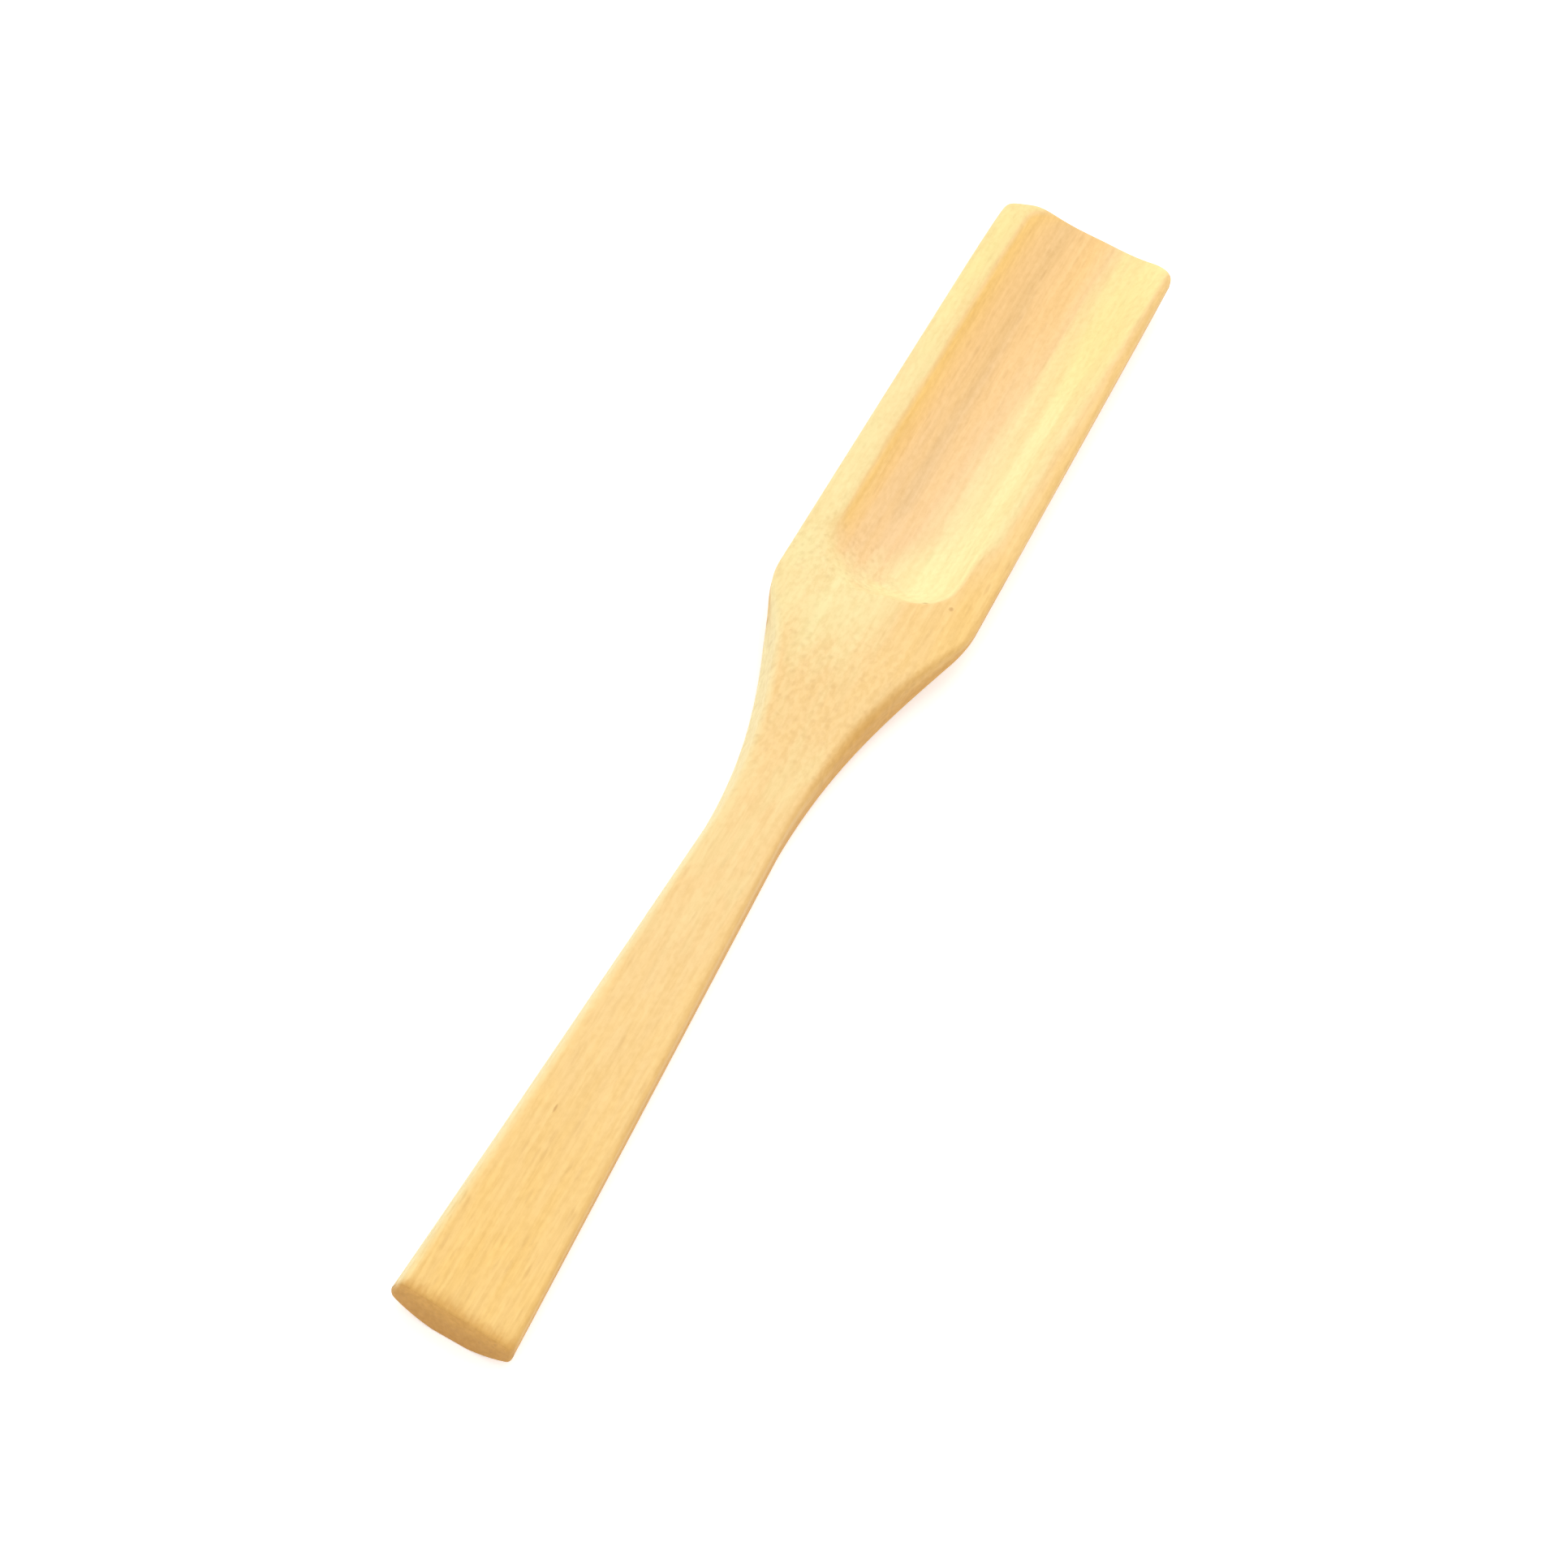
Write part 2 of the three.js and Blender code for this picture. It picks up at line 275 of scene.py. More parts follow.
class ScoopForm:
    """The carved form as plan outlines and as heights over plan positions, in metres."""

    # From the middle of the trough's left back corner to its firm edge, as shares of the end's length
    SOFT_CORNER = (0.35, 1.05)

    def __init__(self, sizes, trough):
        self.sizes = sizes
        self.trough = trough
        self.tail_x = -(sizes.handle_length + sizes.flare_length + sizes.blade_length) / 2
        self.neck_x = self.tail_x + sizes.handle_length
        self.rise_x = self.neck_x + sizes.rise_setback
        self.shoulder_x = self.neck_x + sizes.flare_length
        self.tip_x = self.shoulder_x + sizes.blade_length
        self.lip_x = self.tip_x - sizes.lip_length
        self.trough_end_x = self.shoulder_x + trough.setback + trough.end_length

    def rise_share(self, x):
        """Share of the way from the handle's thickness up to the blade's."""
        return smoothstep(x, self.rise_x, self.rise_x + self.sizes.rise_length)

    def handle_half_width(self, x, corner_x, side):
        """Straight handle edge, then one arc that leaves the neck along the axis."""
        sizes = self.sizes
        neck_half = sizes.neck_width / 2 + side * sizes.neck_offset
        straight = mix(sizes.tail_width / 2, neck_half, (x - self.tail_x) / sizes.handle_length)
        run = corner_x - self.neck_x
        flare = sizes.shoulder_width / 2 - neck_half
        radius = (run * run + flare * flare) / (2 * flare)
        along = np.clip(x - self.neck_x, 0.0, run)
        arc = neck_half + radius - np.sqrt(radius * radius - along * along)
        return np.where(x < self.neck_x, straight, arc)

    def blade_half_width(self, x, corner_x):
        sizes = self.sizes
        share = (x - corner_x) / (self.tip_x - corner_x)
        return mix(sizes.shoulder_width / 2, sizes.tip_width / 2, share)

    def half_width(self, x, side):
        """Half width on one side, with the shoulder corner eased."""
        sizes = self.sizes
        corner_x = self.shoulder_x - side * sizes.shoulder_stagger / 2
        start = corner_x - sizes.shoulder_blend
        end = corner_x + sizes.shoulder_blend
        share = clamp01((x - start) / (end - start))
        first = self.handle_half_width(start, corner_x, side)
        last = self.blade_half_width(end, corner_x)
        eased = (1 - share) ** 2 * first + share * (1 - share) * sizes.shoulder_width + share**2 * last
        outside = np.where(x <= start, self.handle_half_width(x, corner_x, side), eased)
        return np.where(x >= end, self.blade_half_width(x, corner_x), outside)

    def lip_share(self, x):
        """Share of the way along the lip, growing faster toward the tip."""
        return clamp01((x - self.lip_x) / self.sizes.lip_length) ** 2

    def top_height(self, x, y):
        """Top face before the trough is cut: twisted on the handle, crowned on the blade."""
        sizes = self.sizes
        rise = self.rise_share(x)
        level = mix(sizes.handle_thickness, sizes.blade_thickness, rise)
        level = level - sizes.rim_fall * self.lip_share(x)
        twist = math.tan(sizes.tail_twist) * clamp01((self.neck_x - x) / sizes.handle_length)
        across = 2 * y / sizes.shoulder_width
        return level - sizes.blade_crown * rise * across * across + twist * y

    def rim_roll(self, x, y):
        """How far the rims' front ends are rolled over."""
        sizes = self.sizes
        ease = 1.0 - sizes.rim_roll_ease * (2 * y / sizes.tip_width) ** 2
        return round_drop(1.0 - (self.tip_x - x) / sizes.rim_roll_length, sizes.rim_roll_drop) * ease

    def underside_height(self, x, y):
        """Underside: the round of the culm's outside, with a flat to rest on and a raised lip."""
        sizes = self.sizes
        sag = sizes.blade_thickness - sizes.blade_crown - sizes.blade_side_height
        blade_radius = ((sizes.shoulder_width / 2) ** 2 + sag * sag) / (2 * sag)
        radius = mix(sizes.handle_underside_radius, blade_radius, self.rise_share(x))
        flat = sizes.rest_flat_width / 2
        arc = radius - np.sqrt(radius * radius - y * y)
        flat_arc = radius - np.sqrt(radius * radius - flat * flat)
        middle = np.maximum(0.0, 1.0 - (2 * y / sizes.tip_width) ** 2)
        return np.maximum(0.0, arc - flat_arc) + sizes.lip_rise * self.lip_share(x) * middle

    def edge_radius(self, x, side):
        """Round along the top's edge on one side."""
        sizes = self.sizes
        if side == LEFT:
            return np.full_like(x, sizes.left_edge_radius)
        return mix(sizes.right_edge_radius, sizes.flare_edge_radius, self.flare_share(x))

    def flare_share(self, x):
        """1 where the neck flares, falling to 0 at the neck and at the shoulders."""
        sizes = self.sizes
        start = smoothstep(x, self.neck_x, self.rise_x + sizes.rise_length / 2)
        end = smoothstep(x, self.shoulder_x - sizes.flare_length / 2, self.shoulder_x)
        return start * (1.0 - end)

    def side_lean(self, x, wall):
        """How far the slanted left side stands in at the top, and out at the underside."""
        sizes = self.sizes
        ease = 1.0 - smoothstep(x, self.shoulder_x - sizes.lean_ease_length, self.shoulder_x)
        return math.tan(sizes.left_lean) * ease * wall / 2

    def tail_edge(self, y):
        """Plan of the sawn tail: a line at an angle, its two corners rounded."""
        sizes = self.sizes
        half = sizes.tail_width / 2
        past = (np.abs(y) - (half - sizes.tail_corner_radius)) / sizes.tail_corner_radius
        corner = round_drop(past, sizes.tail_corner_radius)
        return self.tail_x + math.tan(sizes.tail_cut_angle) * (y + half) + corner

    def tip_edge(self, y):
        """Plan of the tip: a bowed front that runs into corner arcs along the blade's sides."""
        sizes = self.sizes
        half = sizes.tip_width / 2
        radius = (half**2 + sizes.tip_bow**2) / (2 * sizes.tip_bow)
        bow_x = self.tip_x - radius
        side = np.where(y > 0, LEFT, RIGHT)
        corner_y = side * (half - sizes.tip_corner_radius)
        reach = radius - sizes.tip_corner_radius
        peak = sizes.tip_peak_offset
        corner_x = bow_x + np.sqrt(reach**2 - (corner_y - peak) ** 2)
        touch_y = peak + (corner_y - peak) * radius / reach
        past = np.minimum(np.abs(y - corner_y), sizes.tip_corner_radius)
        corner = corner_x + np.sqrt(sizes.tip_corner_radius**2 - past**2)
        bow = bow_x + np.sqrt(radius**2 - (y - peak) ** 2)
        return np.where(side * y > side * touch_y, corner, bow)

    def end_shift(self, x, y):
        """Moves a station to the slanted tail or the bowed tip, more and more toward each end."""
        sizes = self.sizes
        to_tail = 1 - clamp01((x - self.tail_x) / sizes.tail_ease_length)
        to_tip = clamp01((x - self.lip_x) / sizes.lip_length)
        return to_tail * (self.tail_edge(y) - self.tail_x) + to_tip * (self.tip_edge(y) - self.tip_x)

    def trough_share(self, x, y):
        """0 along the trough's middle line, 1 at its rim and more outside it."""
        trough = self.trough
        left, right = self.trough_edges(np.maximum(x, self.trough_end_x))
        across = (y - (left + right) / 2) / ((left - right) / 2)
        back = np.maximum(self.trough_end_x - x, 0.0) / trough.end_length
        leftward = smoothstep(across, -1.0, 1.0)
        fullness = mix(trough.right_corner_power, trough.left_corner_power, leftward)
        return (np.abs(across) ** fullness + back**fullness) ** (1.0 / fullness)

    def trough_edges(self, x):
        """Where the trough's left and right edges lie."""
        trough = self.trough
        right_rim = mix(trough.rim_right_back, trough.rim_right_tip, self.trough_run(x))
        return self.half_width(x, LEFT) - trough.rim_left, right_rim - self.half_width(x, RIGHT)

    def trough_run(self, x):
        """Share of the way from the trough's round end to the tip."""
        return clamp01((x - self.trough_end_x) / (self.tip_x - self.trough_end_x))

    def trough_height(self, x, y):
        """Surface of the trough, carried on past its rim."""
        sizes = self.sizes
        trough = self.trough
        along = np.maximum(x, self.trough_end_x)
        left, right = self.trough_edges(along)
        rim = (self.top_height(along, left) + self.top_height(along, right)) / 2
        lip = sizes.lip_rise + sizes.lip_thickness
        floor = mix(trough.floor_thickness, lip, self.trough_run(along) ** 2)
        return floor + (rim - floor) * self.trough_share(x, y) ** trough.wall_power

    def from_soft_corner(self, x, y):
        """Distance from the middle of the trough's left back corner, as a share of the end's length."""
        trough = self.trough
        left, right = self.trough_edges(np.full_like(x, self.trough_end_x))
        # Where the corner's curve is as far along as across, as a share of both
        reach = 0.5 ** (1.0 / trough.left_corner_power)
        corner_x = self.trough_end_x - reach * trough.end_length
        corner_y = mix((left + right) / 2, left, reach)
        return np.hypot(x - corner_x, y - corner_y) / trough.end_length

    def firmness(self, x, y):
        """0 at the trough's softly sanded left back corner, 1 away from it."""
        return smoothstep(self.from_soft_corner(x, y), *self.SOFT_CORNER)

    def trough_softness(self, x, y):
        """How far the trough's edge is rounded over: most at its left back corner."""
        return mix(self.trough.corner_softness, self.trough.rim_softness, self.firmness(x, y))


# Fineness of the mesh, and the most of a wall's height that the round of its edge may take
HANDLE_STEP = 1.0 * MILLIMETRE
BLADE_STEP = 0.36 * MILLIMETRE
END_STEPS = 6
INNER_COLUMNS = 40
EDGE_COLUMNS = 7
WALL_ROWS = 4
TOP_ROUND_LIMIT = 0.45
UNDER_ROUND_LIMIT = 0.3


def round_insets(radius):
    """Distances in from an edge that follow its round evenly."""
    angles = np.linspace(0.0, math.pi / 2, END_STEPS, endpoint=False)
    return radius * (1.0 - np.cos(angles))


def stations(form):
    """Places along the scoop, close together along the blade and at the rounded ends."""
    sizes = form.sizes
    tail = form.tail_x + sizes.tail_edge_radius
    tip = form.tip_x - sizes.tip_edge_radius
    handle_count = round((form.neck_x - tail) / HANDLE_STEP)
    blade_count = round((tip - form.neck_x) / BLADE_STEP)
    return np.concatenate([
        form.tail_x + round_insets(sizes.tail_edge_radius),
        np.linspace(tail, form.neck_x, handle_count, endpoint=False),
        np.linspace(form.neck_x, tip, blade_count),
        form.tip_x - round_insets(sizes.tip_edge_radius)[::-1],
    ])


def side_columns(width, radius):
    """Distances from the middle out to one side, one row of them for each station."""
    inner = np.linspace(0.0, 1.0, INNER_COLUMNS, endpoint=False)
    turn = np.sin(np.linspace(0.0, math.pi / 2, EDGE_COLUMNS))
    start = (width - radius)[:, None]
    return np.concatenate([start * inner, start + radius[:, None] * turn], axis=1)


class PlanGrid:
    """Plan positions from the right side to the left at each station, with what the edges need."""

    def __init__(self, form):
        sizes = form.sizes
        x = stations(form)
        halves = [self.half(form, x, side) for side in (RIGHT, LEFT)]
        self.y, self.inset, self.radius, self.lean = (
            np.concatenate([right[:, :0:-1], left], axis=1) for right, left in zip(*halves)
        )
        self.x = np.broadcast_to(x[:, None], self.y.shape)
        self.placed_x = self.x + form.end_shift(self.x, self.y)
        to_tip = 1.0 - (form.tip_x - self.x) / sizes.tip_edge_radius
        to_tail = 1.0 - (self.x - form.tail_x) / sizes.tail_edge_radius
        self.to_end = clamp01(np.maximum(to_tip, to_tail))
        self.end_radius = np.where(self.x > form.neck_x, sizes.tip_edge_radius, sizes.tail_edge_radius)

    @staticmethod
    def half(form, x, side):
        """Offsets, insets, edge radii and lean of one side."""
        sizes = form.sizes
        width = form.half_width(x, side)
        rim = form.top_height(x, side * width) - form.rim_roll(x, width)
        wall = rim - form.underside_height(x, width)
        radius = np.minimum(form.edge_radius(x, side), wall * TOP_ROUND_LIMIT)
        offset = side_columns(width, radius)
        flat = sizes.rest_flat_width / 2
        lean = form.side_lean(x, wall) if side == LEFT else np.zeros_like(x)
        reach = lean[:, None] * np.maximum(offset - flat, 0.0) / (width[:, None] - flat)
        inset = width[:, None] - offset
        return side * offset, inset, np.broadcast_to(radius[:, None], offset.shape), reach


def edge_round(grid, side_radius, thickness, limit):
    """How far the edges fall, round the sides and the ends."""
    sides = round_drop(1.0 - grid.inset / side_radius, np.minimum(side_radius, thickness * limit))
    ends = round_drop(grid.to_end, np.minimum(grid.end_radius, thickness * limit))
    return np.hypot(sides, ends)


def body_sheets(form, grid):
    """Upper and lower sheet of points, and how far the trough is cut into the upper one."""
    sizes = form.sizes
    upper_y = grid.y - grid.lean
    lower_y = grid.y + grid.lean
    blank = form.top_height(grid.x, upper_y) - form.rim_roll(grid.x, upper_y)
    softness = form.trough_softness(grid.placed_x, upper_y)
    carved = soft_least(blank, form.trough_height(grid.placed_x, upper_y), softness)
    under = form.underside_height(grid.x, lower_y)
    thickness = carved - under
    over = carved - edge_round(grid, grid.radius, thickness, TOP_ROUND_LIMIT)
    under_radius = np.minimum(sizes.underside_edge_radius, grid.radius)
    under = under + edge_round(grid, under_radius, thickness, UNDER_ROUND_LIMIT)
    upper = np.stack([grid.placed_x, upper_y, over], axis=-1)
    lower = np.stack([grid.placed_x, lower_y, under], axis=-1)
    return upper, lower, blank - carved


class WoodToneAndLight:
    """Where the wood is pale or deep in colour, with painted light and shade across the blade's top and
    trough and painted highlights along the left side and round the trough's back end, and where cut
    bundles show as dots. Pale is 0 where the wood is deep, 0.5 for honey and 1 for pale."""

    # Along the handle and neck, as shares of the scoop's length
    ALONG = (0.05, 0.18, 0.30, 0.43, 0.52)
    ALONG_PALE = (0.10, 0.33, 0.47, 0.54, 0.50)
    BLADE_ALONG = (0.5, 0.58)
    # Across the blade's top and its trough, as shares of its half width from the right side to the left
    # Deep toward the blade top's right side and pale toward its left is painted shade and light
    RIM_ACROSS = (-0.9, -0.45, -0.1, 0.3, 0.9)
    RIM_LIGHT_AND_SHADE = (0.20, 0.37, 0.68, 0.76, 0.70)
    # Deep on the trough's left wall and pale up its right wall is painted shade and light
    TROUGH_ACROSS = (-0.9, -0.5, -0.26, 0.0, 0.15, 0.4, 0.66)
    TROUGH_LIGHT_AND_SHADE = (0.60, 0.92, 0.80, 0.55, 0.44, 0.34, 0.20)
    TIP_SHIFT = 0.22
    TIP_DEEPER_ACROSS = (-0.2, 0.2)
    CRESCENT_ACROSS = (-0.35, 0.15)
    BROW_ACROSS = (0.0, 0.45)
    TOOL_MARK_ACROSS = (0.3, 0.55)
    PEACH_ACROSS = (-0.6, 0.2)
    DARKENING_ACROSS = 0.29
    DARKENING_HALF_WIDTH = 0.3
    DARKENING_LINE_HALF_WIDTH = 0.09
    # From where the trough has its full width or from its left back corner, as shares of its end's length
    FULL_TROUGH_ALONG = (-0.5, 1.0)
    CRESCENT_ALONG = (-0.2, 0.9)
    BROW_ALONG = (-0.6, -0.32)
    TOOL_MARK_ALONG = -0.35
    TOOL_MARK_HALF_WIDTH = 0.1
    DARKENING_ALONG = (0.4, 1.3)
    CORNER_DOTS_REACH = (0.5, 1.4)
    # Along the trough, as shares of the way to the tip
    TIP_STRAW_RUN = (0.35, 0.75)
    TIP_ROLL_RUN = (0.93, 1.0)
    # Inward from the blade's right side, as shares of the rim's width, and out to the trough's rim
    RIGHT_RIM_INWARD = (0.1, 1.2)
    BROW_OUTWARD = (0.92, 1.02)
    # How pale or strong each is
    # How pale the painted highlight round the trough's back end is
    CRESCENT_HIGHLIGHT = 0.9
    CRESCENT_LEFT = 0.4
    # Painted shade on the right rim's outer edge
    RIGHT_RIM_SHADE = (0.3, 0.85)
    TIP_DEEPER = 0.4
    # How much painted highlight the planed left side gets on top and along the blade
    TOP_PLANED_HIGHLIGHT = 0.7
    BLADE_PLANED_HIGHLIGHT = 0.15
    DARKENING_LINE_SHARE = 0.4
    TOOL_MARK_SHARE = 0.4
    CORNER_DOTS = 0.8
    # How strong the dense wood and painted shade are along the right edge
    EDGE_DENSE_SHADE = 0.45
    BLADE_EDGE_DENSE_SHADE = 0.15
    # Down the side walls, as shares of their height
    BLADE_SKIN_START = 0.4
    SKIN_DEPTH = 0.6
    # Depths of the cut below the blade's top, then lengths and widths on the surface
    PEACH_DEPTHS = (0.2 * MILLIMETRE, 2.6 * MILLIMETRE)
    HOLLOW_DEPTH = 0.8 * MILLIMETRE
    SOFT_HOLLOW_DEPTH = 3.0 * MILLIMETRE
    TIP_HOLLOW_DEPTH = 2.2 * MILLIMETRE
    SAWN_LENGTH = 2.0 * MILLIMETRE
    PLANED_HIGHLIGHT_WIDTH = 1.4 * MILLIMETRE
    PLANED_HIGHLIGHT_UNDER_WIDTH = 0.3 * MILLIMETRE
    EDGE_DENSE_SHADE_WIDTH = 0.8 * MILLIMETRE
    FLARE_DENSE_SHADE_WIDTH = 1.6 * MILLIMETRE
    DOT_EASE = 7.0 * MILLIMETRE

    def __init__(self, form, grid, points, depth):
        self.form = form
        self.x = points[..., 0]
        self.y = points[..., 1]
        self.from_left = np.where(grid.y > 0, grid.inset, form.sizes.shoulder_width)
        self.from_right = np.where(grid.y < 0, grid.inset, form.sizes.shoulder_width)
        self.side = self.y / (form.sizes.shoulder_width / 2)
        self.run = form.trough_run(self.x)
        self.past_end = (self.x - form.trough_end_x) / form.trough.end_length
        reach = mix(self.SOFT_HOLLOW_DEPTH, self.HOLLOW_DEPTH, form.firmness(self.x, self.y))
        reach = mix(reach, self.TIP_HOLLOW_DEPTH, smoothstep(self.run, *self.TIP_ROLL_RUN))
        self.hollow = smoothstep(depth / reach, 0.0, 1.0)
        inward = smoothstep(depth, *self.PEACH_DEPTHS) * smoothstep(self.side, *self.PEACH_ACROSS)
        # The peach tint gives way to the painted highlight at the back end
        self.peach = inward * (1.0 - np.maximum(self.crescent_highlight(), self.brow_highlight()))
        self.tipward = smoothstep(self.run, *self.TIP_STRAW_RUN)

    def pale(self):
        """How pale the wood is over the handle, with painted light and shade across the blade's top and
        the trough and the painted highlight at the back end.
        """
        form = self.form
        along = (self.x - form.tail_x) / (form.tip_x - form.tail_x)
        handle = np.interp(along, self.ALONG, self.ALONG_PALE)
        rim = np.interp(self.side, self.RIM_ACROSS, self.RIM_LIGHT_AND_SHADE)
        rim = mix(rim, self.right_rim_shade(), self.beside_trough() * (self.side < 0))
        top = mix(handle, rim, smoothstep(along, *self.BLADE_ALONG))
        carved = mix(top, self.trough_light_and_shade(), self.hollow)
        return mix(carved, self.CRESCENT_HIGHLIGHT, self.brow_highlight())

    def brow_highlight(self):
        """Painted highlight on the trough's back wall: 1 between its back edge and the tool mark, fading
        out on the left, and 0 elsewhere.
        """
        inside = 1.0 - smoothstep(self.form.trough_share(self.x, self.y), *self.BROW_OUTWARD)
        behind = 1.0 - smoothstep(self.past_end, *self.BROW_ALONG)
        return inside * behind * (1.0 - smoothstep(self.side, *self.BROW_ACROSS))

    def tool_mark(self):
        """Faint line across the trough where its back end meets the floor."""
        away = np.abs(self.past_end - self.TOOL_MARK_ALONG)
        line = 1.0 - smoothstep(away, 0.0, self.TOOL_MARK_HALF_WIDTH)
        return line * (1.0 - smoothstep(np.abs(self.side), *self.TOOL_MARK_ACROSS))

    def beside_trough(self):
        """1 where the trough has its full width, 0 behind its round end."""
        return smoothstep(self.past_end, *self.FULL_TROUGH_ALONG)

    def right_rim_shade(self):
        """Painted shade along the right rim: deep at its outer edge, which faces away from the light,
        nearly as pale as the trough at its inner edge.
        """
        form = self.form
        width = mix(form.trough.rim_right_back, form.trough.rim_right_tip, self.run)
        return mix(*self.RIGHT_RIM_SHADE, smoothstep(self.from_right / width, *self.RIGHT_RIM_INWARD))

    def trough_light_and_shade(self):
        """Painted shade and light across the trough: deep on the left wall, pale up the right wall, and
        the painted highlight round the back end.
        """
        moved = self.side + self.TIP_SHIFT * self.run
        across = np.interp(moved, self.TROUGH_ACROSS, self.TROUGH_LIGHT_AND_SHADE)
        across = across - self.TIP_DEEPER * self.run * smoothstep(moved, *self.TIP_DEEPER_ACROSS)
        return mix(across, self.CRESCENT_HIGHLIGHT, self.crescent_highlight())

    def crescent_highlight(self):
        """Painted highlight round the trough's back end: 1 there, falling to 0 further along, sooner and
        weaker on the left.
        """
        back = 1.0 - smoothstep(self.past_end + self.side, *self.CRESCENT_ALONG)
        return back * mix(1.0, self.CRESCENT_LEFT, smoothstep(self.side, *self.CRESCENT_ACROSS))

    def trough_darkening(self):
        """Faintly darker band along the trough, left of its middle, with a thin line along it, and the
        tool mark across its back end."""
        away = np.abs(self.side - self.DARKENING_ACROSS)
        band = 1.0 - smoothstep(away, 0.0, self.DARKENING_HALF_WIDTH)
        line = 1.0 - smoothstep(away, 0.0, self.DARKENING_LINE_HALF_WIDTH)
        start = smoothstep(self.past_end, *self.DARKENING_ALONG)
        streak = self.hollow * start * mix(band, line, self.DARKENING_LINE_SHARE)
        return np.maximum(streak, self.TOOL_MARK_SHARE * self.tool_mark())

    def dots(self):
        """1 on the slope up to the blade and round the trough's left back end, 0 elsewhere."""
        form = self.form
        rise_end = form.rise_x + form.sizes.rise_length
        slope = smoothstep(self.x, form.rise_x - self.DOT_EASE, form.rise_x + self.DOT_EASE)
        slope = slope * (1.0 - smoothstep(self.x, rise_end - self.DOT_EASE, rise_end + self.DOT_EASE))
        corner = 1.0 - smoothstep(form.from_soft_corner(self.x, self.y), *self.CORNER_DOTS_REACH)
        return np.maximum(slope, self.CORNER_DOTS * corner)

    def sawn(self):
        """1 at the sawn tail, falling to 0 a little way up the handle."""
        from_tail = self.x - self.form.tail_edge(self.y)
        return 1.0 - clamp01(from_tail / self.SAWN_LENGTH)

    def planed(self, width):
        """Planed left edge whose pale colour is partly a painted highlight: 1 along the handle and flare,
        less along the blade, 0 further in.
        """
        form = self.form
        blade = smoothstep(self.x, form.shoulder_x - form.sizes.lean_ease_length, form.shoulder_x)
        return (1.0 - smoothstep(self.from_left / width, 0.0, 1.0)) * mix(1.0, self.BLADE_PLANED_HIGHLIGHT, blade)

    def dense_and_shade(self):
        """Strip along the rounded right edge, widest along the flare: dense wood that the edge cuts into,
        and painted shade where it faces away from the light.
        """
        flare = self.form.flare_share(self.x)
        width = mix(self.EDGE_DENSE_SHADE_WIDTH, self.FLARE_DENSE_SHADE_WIDTH, flare)
        strength = mix(self.EDGE_DENSE_SHADE, self.BLADE_EDGE_DENSE_SHADE, self.beside_trough())
        return (1.0 - smoothstep(self.from_right / width, 0.0, 1.0)) * mix(strength, 1.0, flare)

    def wall_skin(self, share):
        """How far toward the culm's skin the wood is at a share of the way down the side wall, from 0 at
        the top to 1. The blade's walls take on the skin's colour lower down."""
        start = self.BLADE_SKIN_START * self.beside_trough()
        return smoothstep(share, start, start + self.SKIN_DEPTH)


def carve_mesh(form):
    """Closed mesh of the scoop as points, quads and numbers for each point: upper sheet, lower sheet,
    side walls and both ends."""
    grid = PlanGrid(form)
    upper, lower, depth = body_sheets(form, grid)
    # The solid's facets lie slightly inside its curves, so the finer mesh is held to the solid's box
    upper = np.clip(upper, *cad_box)
    lower = np.clip(lower, *cad_box)
    tone = WoodToneAndLight(form, grid, upper, depth)
    sheet_values = {
        "pale": tone.pale(),
        "hollow": tone.hollow,
        "peach": tone.peach,
        "tipward": tone.tipward,
        "trough_darkening": tone.trough_darkening(),
        "dots": tone.dots(),
        "sawn": tone.sawn(),
    }
    # Planed left side, partly a painted highlight, on top and down its wall
    planed_over = tone.planed(tone.PLANED_HIGHLIGHT_WIDTH) * tone.TOP_PLANED_HIGHLIGHT
    planed_under = tone.planed(tone.PLANED_HIGHLIGHT_UNDER_WIDTH)
    dense_and_shade = tone.dense_and_shade()
    rows, columns = upper.shape[:2]
    numbers = np.zeros((WALL_ROWS + 1, rows, columns), dtype=np.int64)
    points = []
    values = {name: [] for name in [*sheet_values, "skin", "planed"]}
    count = 0
    for level in range(WALL_ROWS + 1):
        share = level / WALL_ROWS
        keep = np.ones((rows, columns), dtype=bool)
        if 0 < level < WALL_ROWS:
            keep[1:-1, 1:-1] = False
        added = int(keep.sum())
        numbers[level][keep] = np.arange(count, count + added)
        count += added
        points.append(mix(upper, lower, share)[keep])
        for name, sheet in sheet_values.items():
            values[name].append(sheet[keep])
        # Skin colour down the walls, and the painted shade along the right edge
        values["skin"].append(np.maximum(dense_and_shade, tone.wall_skin(share))[keep])
        values["planed"].append(mix(planed_over, planed_under, share)[keep])
    quads = []

    def add(a, b, c, d):
        quads.append(np.stack([a, b, c, d], axis=-1).reshape(-1, 4))

    top = numbers[0]
    bottom = numbers[WALL_ROWS]
    add(top[:-1, :-1], top[1:, :-1], top[1:, 1:], top[:-1, 1:])
    add(bottom[:-1, :-1], bottom[:-1, 1:], bottom[1:, 1:], bottom[1:, :-1])
    for above, below in zip(numbers[:-1], numbers[1:]):
        add(above[:-1, -1], above[1:, -1], below[1:, -1], below[:-1, -1])
        add(below[:-1, 0], below[1:, 0], above[1:, 0], above[:-1, 0])
        add(below[0, :-1], above[0, :-1], above[0, 1:], below[0, 1:])
        add(below[-1, :-1], below[-1, 1:], above[-1, 1:], above[-1, :-1])
    joined = {name: np.concatenate(parts) for name, parts in values.items()}
    return np.concatenate(points), np.concatenate(quads), joined


def mesh_object(name, points, faces):
    """A smooth-shaded mesh object."""
    mesh = bpy.data.meshes.new(name)
    mesh.from_pydata(points.tolist(), [], faces.tolist())
    mesh.shade_smooth()
    made = bpy.data.objects.new(name, mesh)
    bpy.context.scene.collection.objects.link(made)
    return made


